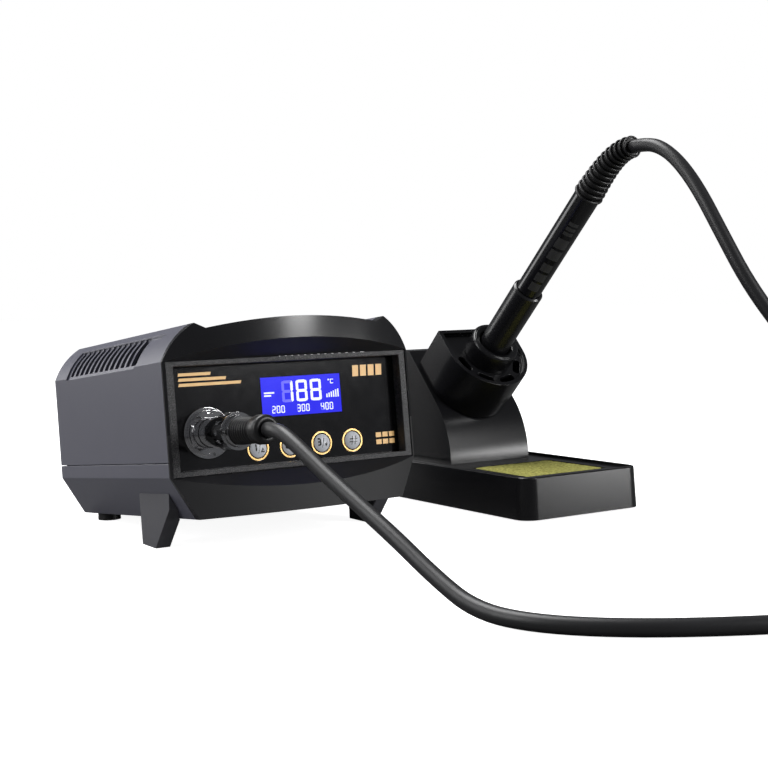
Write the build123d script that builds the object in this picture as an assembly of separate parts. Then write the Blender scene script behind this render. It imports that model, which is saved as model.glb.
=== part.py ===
"""Soldering iron station: control unit, iron with its lead, and a bench stand with a wet sponge.

All sizes are millimetres.  The unit and the stand stand side by side on one table, both facing -Y.
Shapes are first built in three working frames (unit, stand, holder) and then moved together so
that the origin is at the middle of the footprint, on the table.
"""
from build123d import *
from math import cos, hypot, pi, radians, sin, tan
import os

# ---------------------------------------------------------------- driving sizes: control unit
UNIT_PITCH = 5.5          # the unit looks up by this angle, on its tall front feet
UNIT_HEIGHT = 33.2        # table to the lower front corner of the panel opening
PANEL_W = 118.0           # panel opening, width and height
PANEL_H = 48.7
UNIT_DEPTH = 137.0        # panel opening plane to the rear edge of the shells
SIDE_STEP = 1.1           # side walls stand outside the panel opening by this
WALL = 2.2                # moulded shell thickness
GAP = 0.15                # assembly clearance between neighbouring pieces
BOTTOM_Z = -17.8          # underside of the unit
BAND_Z = 0.4              # the lower shell's side band, lower edge
SPLIT_Z = 6.7             # parting line between the shells
CHAMFER_IN = 9.2          # x where the sloped lower flank meets the underside
RIDGE_X = 12.6            # crest above each shoulder
RIDGE_Z = 64.1
VALLEY_X = 17.2           # foot of the crest's inner slope
VALLEY_Z = 61.7
CROWN_Z = 65.1            # middle of the roof
SHOULDER_RISE = 1.7       # how far the shoulder bulges out of its chord
NOSE_BULGE = 11.0         # how far the front moulding bulges forward in the middle
NOSE_BACK = 1.0           # rear face of the front moulding
FACET_RISE = 7.1          # how much the facets open upward and downward over the bulge
PANEL_Y = 6.0             # front face of the recessed panel
PANEL_T = 2.0

# vents
VENT_COUNT = 13
VENT_FIRST = 33.4
VENT_PITCH = 6.65
VENT_SLOT = 4.5
VENT_LOW = 49.3
VENT_HIGH = 60.6
VENT_POCKET = 0.9         # depth of the shallow pocket around the slots

# display, buttons and connector, placed in the panel's own x and z
LCD_X = 66.4
LCD_Z = 31.2
LCD_W = 39.6
LCD_H = 17.2
BUTTON_X = 43.0
BUTTON_Z = 9.3
BUTTON_PITCH = 15.8
BUTTON_COUNT = 4
BUTTON_R = 3.95
BUTTON_TRAVEL = 0.5
RING_R = 5.2
SOCKET_X = 19.4
SOCKET_Z = 17.8
SOCKET_BORE = 4.8
NECK_R = 6.1              # threaded neck of the socket
PLUG_R = 6.5              # plug barrel
PLUG_END = 31.0           # from the panel face forward to the end of the plug barrel
PLUG_TRAVEL = 12.0
PLUG_BOOT_START = 34.6    # from the panel face forward
PLUG_BOOT_END = 57.0
PLUG_BOOT_RIBS = 9

# rear panel, feet and insides
REAR_Y = UNIT_DEPTH - 1.2         # outer face of the rear panel
GLAND_X, GLAND_Z, GLAND_R = 96.0, 2.0, 6.5
GLAND_BORE = 4.0
JACK_X, JACK_Z, JACK_R = 72.0, 2.0, 4.0
JACK_BORE = 2.05
SWITCH_X, SWITCH_Z, SWITCH_W, SWITCH_H = 26.0, 30.0, 19.0, 13.0
ROCKER_Y = REAR_Y - 1.4           # the rocker's pivot
ROCKER_THROW = 20.0
PIVOT_R = 1.0
FOOT_Y = 124.0                    # rear pads
PAD_R = 5.5
BOSS_R = 3.4
BOSS_SPOTS = [(22, 28), (96, 28), (22, 118), (96, 118)]
FLOOR_Z = BOTTOM_Z + WALL         # inside of the lower shell
BOARD_Z = -6.0
BOARD_T = 1.6
BOARD_TOP = BOARD_Z + BOARD_T
STANDOFF_SPOTS = [(18, 38), (100, 38), (18, 72), (100, 72)]
CORE_X0, CORE_X1 = 33.0, 93.0     # transformer core
CORE_Y0, CORE_Y1 = 88.0, 114.0
CORE_LOW, CORE_HIGH = -12.0, 36.0
CORE_WINDOW = 10.0                # each of the core's two windows
CORE_YOKE = 10.0
WINDING_OUT = 9.0                 # the winding stands out of the core by this
BRACKET_T = 1.6
DISPLAY_Y = PANEL_Y + PANEL_T     # rear face of the panel

# ---------------------------------------------------------------- driving sizes: stand and iron
STAND_X = 162.1           # stand's front left corner, in the unit's plan
STAND_Y = -26.4
TRAY_W = 72.0
TRAY_L = 155.0
TRAY_H = 20.7
TRAY_ROUND = 8.0          # the tray's corners in plan
DECK_Z = 19.5             # the tray's deck inside its raised rim
COLUMN_V = 11.2           # column inset from each side of the tray
COLUMN_U = 75.6           # column front
COLUMN_TOP = 76.9
COLUMN_BACK = 143.0
CREST_U = 112.4           # where the sloped face reaches the top
SLOPE_R = 45.0            # rounding between the upright front and the sloped face
SPONGE_U = 14.0
SPONGE_L = 44.0
SPONGE_V = 12.5
SPONGE_DEPTH = 11.0
LEAN = 47.0               # the iron leans forward by this from upright
CUP_U = 76.3              # middle of the cup's mouth
CUP_Z = 76.4
CUP_R = 23.0
CUP_FLAT = 15.7           # the cup's flat back, from its middle
CUP_LENGTH = 26.0         # mouth to the column's sloped face
IRON_OFFSET = -1.6        # the iron's line, below the cup's middle
COLLAR_TOP = 9.3
SLEEVE_R = 7.75
HANDLE_R = 6.3
SLEEVE_TOP = 47.5
HANDLE_TOP = 111.0
TIP_END = -66.0
IRON_TRAVEL = 100.0
FOOT_GAP = 0.8            # table to the tray, which stands on four rubber feet
FOOT_R = 4.5
FOOT_INSET = 9.0
FOOT_TOP = DECK_Z - SPONGE_DEPTH - 2.2
STAND_SCREWS = [(19, 82), (53, 82), (19, 134), (53, 134)]
PLATE_TOP = -1.8          # the cup's recessed end plate
PLATE_T = 2.5
SLOT_RING = 16.6          # the cup's slots lie on this radius
COLLAR_IN, COLLAR_OUT = 10.4, 11.2
LINER_R = 10.2
LINER_T = 0.7
NUT_TOP = -12.0
NUT_END = -22.0
BARREL_R = 3.25
BARREL_END = -52.0
BOOT_LENGTH = 36.0
BOOT_DROOP = 40.0         # how much the boot bends down, mostly near its thin end
BOOT_RIBS = 10

# ---------------------------------------------------------------- driving sizes: lead
CORD_D = 6.0
COIL_X = 207.0            # middle of the put-away coil
COIL_Y = -190.0
COIL_OUT = 39.0
COIL_IN = 27.0
COIL_H = 12.0
COIL_FLAT = 0.5           # small flat on the coil where the lead arrives
COIL_GAP = 0.3            # the free lead moves with the plug and the iron, so it stops short

MID_X = PANEL_W / 2
UNIT = Pos(0, 0, UNIT_HEIGHT) * Rot(-UNIT_PITCH, 0, 0)
STAND = Pos(STAND_X, STAND_Y, 0)
HOLDER = STAND * Pos(TRAY_W / 2, CUP_U, CUP_Z) * Rot(LEAN, 0, 0)
IRON = HOLDER * Pos(0, IRON_OFFSET, 0)
NODES = {}


def add(name, shape, frame=Location()):
    """Keep a finished piece under its own name."""
    NODES[name] = frame * shape


def block(x0, x1, y0, y1, z0, z1):
    """A box between two corners."""
    return Pos((x0 + x1) / 2, (y0 + y1) / 2, (z0 + z1) / 2) * Box(x1 - x0, y1 - y0, z1 - z0)


def rod_x(radius, x0, x1, y=0.0, z=0.0):
    """A round bar along X."""
    return Pos((x0 + x1) / 2, y, z) * Rot(0, 90, 0) * Cylinder(radius, abs(x1 - x0))


def rod_y(radius, y0, y1, x=0.0, z=0.0):
    """A round bar along Y."""
    return Pos(x, (y0 + y1) / 2, z) * Rot(90, 0, 0) * Cylinder(radius, abs(y1 - y0))


def rod_z(radius, z0, z1, x=0.0, y=0.0):
    """A round bar along Z."""
    return Pos(x, y, (z0 + z1) / 2) * Cylinder(radius, z1 - z0)


def turned(profile):
    """A piece turned about Z from (radius, height) corners."""
    outline = Polyline(*[(r, 0, h) for r, h in profile], close=True)
    return revolve(make_face(outline), Axis.Z)


def facing_front(shape, x=0.0, z=0.0):
    """Lay a piece turned about Z on its side, its +Z end towards -Y."""
    return Pos(x, 0, z) * Rot(90, 0, 0) * shape


def group(shapes):
    """Several like solids in one node."""
    return Compound(children=list(shapes))


# ================================================================ control unit
def unit_outline(inset=0.0):
    """The unit's cross section seen from the front: flank, shoulder, crest and crowned roof."""
    left = -SIDE_STEP + inset
    low = BOTTOM_Z + inset
    lean_in = inset * 0.55
    points = [
        (left, BAND_Z - lean_in + inset * 0.5),
        (left, PANEL_H - lean_in),
        (RIDGE_X + inset * 0.2, RIDGE_Z - inset * 1.35),
        (VALLEY_X, VALLEY_Z - inset),
        (MID_X, CROWN_Z - inset),
        (CHAMFER_IN + lean_in, low),
    ]
    flank_low, flank_high, ridge, valley, crown, sill = points
    chord = (ridge[0] - flank_high[0], ridge[1] - flank_high[1])
    size = hypot(*chord)
    bulge = ((flank_high[0] + ridge[0]) / 2 - chord[1] / size * SHOULDER_RISE,
             (flank_high[1] + ridge[1]) / 2 + chord[0] / size * SHOULDER_RISE)

    def other(point):
        return (PANEL_W - point[0], point[1])

    edges = [
        Line(sill, flank_low),
        Line(flank_low, flank_high),
        ThreePointArc(flank_high, bulge, ridge),
        Line(ridge, valley),
        ThreePointArc(valley, crown, other(valley)),
        Line(other(valley), other(ridge)),
        ThreePointArc(other(ridge), other(bulge), other(flank_high)),
        Line(other(flank_high), other(flank_low)),
        Line(other(flank_low), other(sill)),
        Line(other(sill), sill),
    ]
    return Plane.XZ * make_face(edges)


def unit_bar(inset, y0, y1):
    """The cross section drawn out from y0 to y1."""
    return Pos(0, y1, 0) * extrude(unit_outline(inset), y1 - y0)


def shell_half(upper):
    """One of the two shells that close on the parting line."""
    tube = unit_bar(0, NOSE_BACK + GAP, UNIT_DEPTH) - unit_bar(WALL, -1, UNIT_DEPTH + 1)
    reach = 100
    if upper:
        keep = block(-reach, PANEL_W + reach, -reach, 2 * reach, SPLIT_Z, reach)
    else:
        keep = block(-reach, PANEL_W + reach, -reach, 2 * reach, -reach, SPLIT_Z - 2 * GAP)
    return tube & keep


def vent_pocket(side):
    """The shallow pocket over one shoulder, with its slanted front end."""
    corners = [(14, VENT_HIGH + 1.0), (VENT_FIRST - 1.5, VENT_LOW - 1.4),
               (VENT_FIRST + VENT_PITCH * VENT_COUNT, VENT_LOW - 1.4),
               (VENT_FIRST + VENT_PITCH * VENT_COUNT, VENT_HIGH + 1.0)]
    window = extrude(Plane.YZ * make_face(Polyline(*corners, close=True)), RIDGE_X - 1.2)
    skin = unit_bar(-2, 0, UNIT_DEPTH) - unit_bar(VENT_POCKET, -1, UNIT_DEPTH + 1)
    pocket = skin & (Pos(-3, 0, 0) * window)
    return pocket if side == 0 else mirror(pocket, Plane.YZ.offset(MID_X))


def vent_slots():
    """Both rows of cooling slots."""
    slots = []
    for number in range(VENT_COUNT):
        y0 = VENT_FIRST + number * VENT_PITCH
        front = y0 - 1.5 if number == 0 else y0
        left = block(-4, RIDGE_X - 3.6, front, y0 + VENT_SLOT, VENT_LOW, VENT_HIGH)
        slots.append(left)
        slots.append(mirror(left, Plane.YZ.offset(MID_X)))
    return slots


def top_cover():
    cover = shell_half(True)
    for side in (0, 1):
        cover -= vent_pocket(side)
    return cover - vent_slots()


def base_shell():
    shell = shell_half(False)
    for x, y in BOSS_SPOTS:
        shell += rod_z(BOSS_R, FLOOR_Z - 0.5, FLOOR_Z + 9, x, y)
        shell -= rod_z(1.3, BOTTOM_Z - 1, FLOOR_Z + 8, x, y)
        shell -= rod_z(3.0, BOTTOM_Z - 1, BOTTOM_Z + 1.6, x, y)
    return shell


def nose():
    """The front moulding: full outline, convex in plan, opened by two slanted facets."""
    reach = 40.0
    radius = ((PANEL_W / 2 + SIDE_STEP) ** 2 + NOSE_BULGE ** 2) / (2 * NOSE_BULGE)

    def solid(inset):
        plan = Pos(MID_X, radius - NOSE_BULGE + inset, 25) * Cylinder(radius, 4 * reach)
        return unit_bar(inset, -reach, NOSE_BACK) & plan

    def facets(wall):
        """The opening between the facets; wall moves its faces outward."""
        slope = FACET_RISE / NOSE_BULGE
        low, high = -wall, PANEL_H + wall
        profile = [(NOSE_BACK + 1, low), (NOSE_BACK + 1, high), (0, high),
                   (-reach, high + slope * reach), (-reach, low - slope * reach), (0, low)]
        face = Plane.YZ * make_face(Polyline(*profile, close=True))
        return Pos(-reach, 0, 0) * extrude(face, PANEL_W + 2 * reach)

    body = solid(0) - (facets(0) & block(0, PANEL_W, -reach, reach, -reach, PANEL_H + reach))
    hollow = solid(WALL) - facets(WALL)
    return body - hollow


def panel_frame():
    """The speckled frame that holds the panel."""
    front = block(GAP, PANEL_W - GAP, 0, NOSE_BACK, GAP, PANEL_H - GAP)
    rear = block(1.5, PANEL_W - 1.5, NOSE_BACK, PANEL_Y, GAP, PANEL_H - GAP)
    return front + rear - block(3.8, PANEL_W - 3.4, -1, PANEL_Y + 1, 2.4, PANEL_H - 2.3)


def button_places():
    return [BUTTON_X + number * BUTTON_PITCH for number in range(BUTTON_COUNT)]


def front_panel():
    plate = block(1.5, PANEL_W - 1.5, PANEL_Y, PANEL_Y + PANEL_T, GAP, PANEL_H - GAP)
    plate -= block(LCD_X - LCD_W / 2 - GAP, LCD_X + LCD_W / 2 + GAP, PANEL_Y - 1, PANEL_Y + 3,
                   LCD_Z - LCD_H / 2 - GAP, LCD_Z + LCD_H / 2 + GAP)
    plate -= rod_y(NECK_R + GAP, PANEL_Y - 1, PANEL_Y + 3, SOCKET_X, SOCKET_Z)
    for x in button_places():
        plate -= rod_y(BUTTON_R + GAP, PANEL_Y - 1, PANEL_Y + 3, x, BUTTON_Z)
        groove = rod_y(RING_R + GAP, PANEL_Y - 1, PANEL_Y + 0.4, x, BUTTON_Z)
        plate -= groove - rod_y(RING_R - 0.7 - GAP, PANEL_Y - 2, PANEL_Y + 1, x, BUTTON_Z)
    return plate


def button():
    """A domed push button with a retaining flange, built around x = 0."""
    dome_h = 1.3
    back = PANEL_Y + PANEL_T + 1.2
    profile = [(0, 0), (BUTTON_R + 1.0, 0), (BUTTON_R + 1.0, 0.9), (BUTTON_R, 0.9),
               (BUTTON_R, back - PANEL_Y + 0.2)]
    stem = turned(profile + [(0, back - PANEL_Y + 0.2)])
    ball_r = (BUTTON_R ** 2 + dome_h ** 2) / (2 * dome_h)
    dome = Pos(0, 0, back - PANEL_Y + 0.2 + dome_h - ball_r) * Sphere(ball_r)
    dome &= rod_z(BUTTON_R, back - PANEL_Y + 0.2, back + 4)
    return Pos(0, back, 0) * facing_front(stem + dome)


def button_ring():
    ring = rod_y(RING_R, PANEL_Y - 0.15, PANEL_Y + 0.35)
    return ring - rod_y(RING_R - 0.7, PANEL_Y - 1, PANEL_Y + 1)


def socket_body():
    """Panel socket: flange, threaded neck in front and barrel behind, with a through bore."""
    body = rod_y(11.0, PANEL_Y - 1.5, PANEL_Y, SOCKET_X, SOCKET_Z)
    body += rod_y(NECK_R, PANEL_Y - 10, PANEL_Y + 4, SOCKET_X, SOCKET_Z)
    body += rod_y(7.6, PANEL_Y + PANEL_T, PANEL_Y + 14, SOCKET_X, SOCKET_Z)
    return body - rod_y(SOCKET_BORE, PANEL_Y - 11, PANEL_Y + 15, SOCKET_X, SOCKET_Z)


def socket_nut():
    """Round nut with spanner flats that clamps the socket."""
    nut = rod_y(9.75, PANEL_Y - 5, PANEL_Y - 1.5, SOCKET_X, SOCKET_Z)
    nut -= rod_y(NECK_R + GAP, PANEL_Y - 6, PANEL_Y, SOCKET_X, SOCKET_Z)
    notch = block(-1.2, 1.2, PANEL_Y - 6, PANEL_Y - 3.6, 8.4, 11)
    for number in range(6):
        nut -= Pos(SOCKET_X, 0, SOCKET_Z) * Rot(0, 60 * number, 0) * notch
    return nut


def socket_insert():
    """Insulating insert with five contact tubes."""
    insert = rod_y(SOCKET_BORE - 0.1, PANEL_Y + 3, PANEL_Y + 15, SOCKET_X, SOCKET_Z)
    for number in range(5):
        turn = radians(72 * number)
        x = SOCKET_X + 2.6 * sin(turn)
        z = SOCKET_Z + 2.6 * cos(turn)
        insert += rod_y(0.6, PANEL_Y + 14, PANEL_Y + 18, x, z)
    return insert


def plug_shell():
    """Plug barrel; its spigot enters the socket's bore."""
    barrel = rod_y(PLUG_R, PANEL_Y - PLUG_END, PANEL_Y - 10.3, SOCKET_X, SOCKET_Z)
    spigot = rod_y(SOCKET_BORE - 2 * GAP, PANEL_Y - 11, PANEL_Y + 2.6, SOCKET_X, SOCKET_Z)
    return barrel + spigot


def plug_ring():
    """Locking ring with grip notches, free to turn on the plug barrel."""
    front, back = PANEL_Y - PLUG_END, PANEL_Y - PLUG_END + 9
    ring = rod_y(7.8, front, back, SOCKET_X, SOCKET_Z)
    ring -= rod_y(PLUG_R + GAP, front - 1, back + 1, SOCKET_X, SOCKET_Z)
    notch = block(-0.9, 0.9, front + 1.6, back - 2.2, 7.2, 9)
    for number in range(12):
        ring -= Pos(SOCKET_X, 0, SOCKET_Z) * Rot(0, 30 * number, 0) * notch
    return ring


def plug_clamp():
    """Clamp cap with two screw bosses at the end of the plug."""
    front, back = PANEL_Y - PLUG_BOOT_START + 0.1, PANEL_Y - PLUG_END - GAP
    cap = rod_y(PLUG_R - 0.1, front, back, SOCKET_X, SOCKET_Z)
    for side in (-1, 1):
        cap += rod_y(1.4, front + 0.3, back - 0.3, SOCKET_X + side * (PLUG_R - 0.3), SOCKET_Z)
    return cap


def plug_boot():
    """Ribbed rubber strain relief that ends in a smooth sleeve."""
    pitch = 14.0 / PLUG_BOOT_RIBS
    profile = [(0, PLUG_BOOT_START), (5.2, PLUG_BOOT_START)]
    for number in range(PLUG_BOOT_RIBS):
        base = PLUG_BOOT_START + 1.0 + number * pitch
        profile += [(5.2, base), (4.3, base + 0.1), (4.3, base + 0.7), (5.2, base + 0.8)]
    sleeve = PLUG_BOOT_END - 7.0
    profile += [(5.2, sleeve - 0.4), (5.9, sleeve), (5.9, PLUG_BOOT_END - 1),
                (5.0, PLUG_BOOT_END), (0, PLUG_BOOT_END)]
    return Pos(0, PANEL_Y, 0) * facing_front(turned(profile), SOCKET_X, SOCKET_Z)


# ---------------------------------------------------------------- feet, rear panel and insides
def front_foot():
    """Tall swept leg moulded to sit on the sloped flank, cut level with the table."""
    leg = [(11.9, -5.5), (45.3, -5.5), (45.6, -34), (34.7, -34), (12.8, -13.4)]
    blade = extrude(Plane.YZ * make_face(Polyline(*leg, close=True)), 6.8)
    blade = Pos(2.6, 0, 0) * blade
    inner = unit_bar(-GAP, -5, UNIT_DEPTH)
    return blade - inner


def level_with_table(shape, clear=0.0):
    """Cut a piece, given in the unit's frame, along the table."""
    floor = Pos(0, 0, -50 + clear) * Box(900, 900, 100)
    return shape - UNIT.inverse() * floor


def rear_panel():
    plate = unit_bar(WALL + GAP, UNIT_DEPTH - 3.2, UNIT_DEPTH - 1.2)
    plate -= rod_y(GLAND_R + GAP, 100, 160, GLAND_X, GLAND_Z)
    plate -= rod_y(JACK_R + GAP, 100, 160, JACK_X, JACK_Z)
    half_w, half_h = SWITCH_W / 2 + GAP, SWITCH_H / 2 + GAP
    return plate - block(SWITCH_X - half_w, SWITCH_X + half_w, 100, 160,
                         SWITCH_Z - half_h, SWITCH_Z + half_h)


def gland():
    """Mains cord gland with a through bore, held by its flange outside and a nut step inside."""
    body = rod_y(GLAND_R, REAR_Y - 10, REAR_Y + 1, GLAND_X, GLAND_Z)
    body += rod_y(9.0, REAR_Y, REAR_Y + 3.0, GLAND_X, GLAND_Z)
    body += rod_y(6.0, REAR_Y + 3.0, REAR_Y + 11, GLAND_X, GLAND_Z)
    return body - rod_y(GLAND_BORE, REAR_Y - 12, REAR_Y + 12, GLAND_X, GLAND_Z)


def earth_jack():
    """Brass 4 mm jack for a wrist strap."""
    body = rod_y(JACK_R, REAR_Y - 12, REAR_Y + 1, JACK_X, JACK_Z)
    body += rod_y(6.0, REAR_Y, REAR_Y + 3.2, JACK_X, JACK_Z)
    return body - rod_y(JACK_BORE, REAR_Y - 8, REAR_Y + 4, JACK_X, JACK_Z)


def switch_body():
    """Rocker switch housing with an open well for the rocker."""
    half_w, half_h = SWITCH_W / 2, SWITCH_H / 2
    body = block(-half_w, half_w, REAR_Y - 14, REAR_Y + 0.5, -half_h, half_h)
    body += block(-half_w - 1.2, half_w + 1.2, REAR_Y, REAR_Y + 1.4, -half_h - 1.2, half_h + 1.2)
    body -= block(-8, 8, REAR_Y - 6.0, REAR_Y + 3, -5.6, 5.6)
    body -= rod_x(PIVOT_R + 0.05, -9.1, 9.1, ROCKER_Y)
    for side in (-1, 0, 1):
        body += block(side * 5 - 0.4, side * 5 + 0.4, REAR_Y - 20, REAR_Y - 13, -2.4, 2.4)
    return Pos(SWITCH_X, 0, SWITCH_Z) * body


def switch_rocker():
    """Rocker with two sloped pads, resting at one end of its throw."""
    profile = [(-2.2, -3.0), (2.4, -4.6), (1.5, 0), (2.4, 4.6), (-2.2, 3.0)]
    pads = extrude(Plane.YZ * make_face(Polyline(*profile, close=True)), 7.7, both=True)
    return Pos(SWITCH_X, ROCKER_Y, SWITCH_Z) * Rot(-ROCKER_THROW / 2, 0, 0) * (pads + rod_x(PIVOT_R, -9, 9))


def core_windows(inset=0.0):
    """X spans of the two windows in the transformer core."""
    left = CORE_X0 + CORE_YOKE + inset
    right = CORE_X1 - CORE_YOKE - inset
    return [(left, left + CORE_WINDOW - inset), (right - CORE_WINDOW + inset, right)]


def transformer_core():
    core = block(CORE_X0, CORE_X1, CORE_Y0, CORE_Y1, CORE_LOW, CORE_HIGH)
    for x0, x1 in core_windows():
        core -= block(x0, x1, CORE_Y0 - 1, CORE_Y1 + 1, CORE_LOW + CORE_YOKE, CORE_HIGH - CORE_YOKE)
    return core


def transformer_coil():
    """The winding goes round the middle leg, through both windows."""
    low, high = CORE_LOW + CORE_YOKE + 2 * GAP, CORE_HIGH - CORE_YOKE - 2 * GAP
    (left, leg_left), (leg_right, right) = core_windows(2 * GAP)
    winding = block(left, right, CORE_Y0 - WINDING_OUT, CORE_Y1 + WINDING_OUT, low, high)
    leg = block(leg_left, leg_right, CORE_Y0 - GAP, CORE_Y1 + GAP, low - 1, high + 1)
    return winding - leg


def transformer_bracket():
    """Steel strap over the core with two fixing feet."""
    y0, y1 = CORE_Y0 + 6, CORE_Y1 - 6
    strap = block(CORE_X0 - GAP - BRACKET_T, CORE_X1 + GAP + BRACKET_T, y0, y1,
                  FLOOR_Z + GAP, CORE_HIGH + GAP + BRACKET_T)
    strap -= block(CORE_X0 - GAP, CORE_X1 + GAP, 0, UNIT_DEPTH, BOTTOM_Z, CORE_HIGH + GAP)
    for x0, x1 in ((21, CORE_X0 - GAP - 1), (CORE_X1 + GAP + 1, 105)):
        strap += block(x0, x1, y0, y1, FLOOR_Z + GAP, FLOOR_Z + GAP + BRACKET_T)
    return strap


def bolt(radius, length, head_r, head_h):
    """A plain screw, head up, its shank below z = 0."""
    return rod_z(radius, -length, 0) + rod_z(head_r, 0, head_h)


def main_board():
    board = block(14, 104, 34, 76, BOARD_Z, BOARD_Z + BOARD_T)
    for x, y in STANDOFF_SPOTS:
        board -= rod_z(1.6, BOARD_Z - 1, BOARD_Z + 3, x, y)
    return board


def heat_sink():
    top = BOARD_TOP
    sink = block(72, 98, 46, 49, top + GAP, top + 24)
    for number in range(6):
        x0 = 72 + number * 4.8
        sink += block(x0, x0 + 2, 49, 64, top + GAP, top + 24)
    return sink


def board_parts():
    """Capacitors, terminal blocks and the regulator on the main board."""
    top = BOARD_TOP + GAP
    parts = [rod_z(6.5, top, top + 22, 30, 52), rod_z(6.5, top, top + 22, 46, 52),
             block(22, 42, 62, 72, top, top + 10), block(50, 66, 62, 72, top, top + 10),
             block(80, 90, 41.2, 45.8, top, top + 16)]
    return group(parts)


def fuse():
    """Glass fuse lying in two clips."""
    top = BOARD_TOP + GAP
    return Pos(57, 40.4, top + 4.4) * Rot(0, 90, 0) * Cylinder(2.6, 20)


def display_board():
    return block(36, 112, DISPLAY_Y + 5.2, DISPLAY_Y + 6.8, 1.5, 45)


def lcd_module():
    return block(LCD_X - 22, LCD_X + 22, DISPLAY_Y + 0.2, DISPLAY_Y + 5.0, LCD_Z - 11, LCD_Z + 11)


def tact_switches():
    return group(rod_y(2.2, DISPLAY_Y + 2.2, DISPLAY_Y + 3.0, x, BUTTON_Z)
                 + block(x - 3, x + 3, DISPLAY_Y + 3.0, DISPLAY_Y + 5.0, BUTTON_Z - 3, BUTTON_Z + 3)
                 for x in button_places())


def build_unit():
    add("front_moulding", nose(), UNIT)
    add("panel_frame", panel_frame(), UNIT)
    add("front_panel", front_panel(), UNIT)
    window = block(LCD_X - LCD_W / 2, LCD_X + LCD_W / 2, PANEL_Y, PANEL_Y + 1.6,
                   LCD_Z - LCD_H / 2, LCD_Z + LCD_H / 2)
    add("lcd_window", window, UNIT)
    add("lcd_module", lcd_module(), UNIT)
    add("display_board", display_board(), UNIT)
    add("tact_switches", tact_switches(), UNIT)
    for number, x in enumerate(button_places(), start=1):
        add(f"button_{number}", Pos(x, 0, BUTTON_Z) * button(), UNIT)
    add("button_rings", group(Pos(x, 0, BUTTON_Z) * button_ring() for x in button_places()), UNIT)
    add("socket_body", socket_body(), UNIT)
    add("socket_nut", socket_nut(), UNIT)
    add("socket_insert", socket_insert(), UNIT)
    add("plug_shell", plug_shell(), UNIT)
    add("plug_ring", plug_ring(), UNIT)
    add("plug_clamp", plug_clamp(), UNIT)
    add("plug_boot", plug_boot(), UNIT)
    add("top_cover", top_cover(), UNIT)
    add("base_shell", base_shell(), UNIT)
    add("rear_panel", rear_panel(), UNIT)
    foot = level_with_table(front_foot())
    add("left_foot", foot, UNIT)
    add("right_foot", mirror(foot, Plane.YZ.offset(MID_X)), UNIT)
    pads = [level_with_table(rod_z(PAD_R, -30, BOTTOM_Z - GAP, x, FOOT_Y))
            for x in (CHAMFER_IN + 8, PANEL_W - CHAMFER_IN - 8)]
    add("rear_pads", group(pads), UNIT)
    add("mains_gland", gland(), UNIT)
    add("earth_jack", earth_jack(), UNIT)
    add("switch_body", switch_body(), UNIT)
    add("switch_rocker", switch_rocker(), UNIT)
    add("transformer_core", transformer_core(), UNIT)
    add("transformer_coil", transformer_coil(), UNIT)
    add("transformer_bracket", transformer_bracket(), UNIT)
    bolt_low = FLOOR_Z + BRACKET_T + 2 * GAP
    add("transformer_bolts", group(rod_z(3.0, bolt_low, bolt_low + 2.4, x, (CORE_Y0 + CORE_Y1) / 2)
                                   for x in (25.5, 99.5)), UNIT)
    add("main_board", main_board(), UNIT)
    add("board_standoffs", group(rod_z(3.2, FLOOR_Z + GAP, BOARD_Z - GAP, x, y)
                                 for x, y in STANDOFF_SPOTS), UNIT)
    add("heat_sink", heat_sink(), UNIT)
    add("board_parts", board_parts(), UNIT)
    add("fuse", fuse(), UNIT)
    screws = [Pos(x, y, BOTTOM_Z + 1.4) * Rot(180, 0, 0) * bolt(1.2, 8.5, 2.7, 1.2)
              for x, y in BOSS_SPOTS]
    add("case_screws", group(screws), UNIT)


# ================================================================ stand
def tray():
    """Weighted tray: drafted block with a raised rim, a sponge well and a hollow underside."""
    rise = TRAY_H - FOOT_GAP
    foot = RectangleRounded(TRAY_W, TRAY_L, TRAY_ROUND)
    body = Pos(TRAY_W / 2, TRAY_L / 2, FOOT_GAP) * extrude(foot, rise, taper=3.0)
    body = fillet(body.faces().sort_by(Axis.Z)[-1].edges(), 0.8)
    rim = 3.0
    deck = Pos(TRAY_W / 2, TRAY_L / 2, DECK_Z) * extrude(
        RectangleRounded(TRAY_W - 2 * rim, TRAY_L - 2 * rim, TRAY_ROUND - rim), 5)
    well = block(SPONGE_V - 1, TRAY_W - SPONGE_V + 1, SPONGE_U - 1, SPONGE_U + SPONGE_L + 1,
                 DECK_Z - SPONGE_DEPTH - GAP, DECK_Z + 1)
    hollow = block(3.5, TRAY_W - 3.5, 3.5, TRAY_L - 3.5, -1, FOOT_TOP)
    rear_hollow = block(3.5, TRAY_W - 3.5, SPONGE_U + SPONGE_L + 4, TRAY_L - 3.5, -1, DECK_Z - 2.4)
    bosses = [rod_z(3.4, DECK_Z - 8, DECK_Z - 1, x, y) for x, y in STAND_SCREWS]
    bosses += [rod_z(FOOT_R, FOOT_TOP, DECK_Z - 1, x, TRAY_L - FOOT_INSET)
               for x in (FOOT_INSET, TRAY_W - FOOT_INSET)]
    holes = [rod_z(1.6, DECK_Z - 9, DECK_Z + 1, x, y) for x, y in STAND_SCREWS]
    return (body - deck - well - hollow - rear_hollow) + bosses - holes


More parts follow.
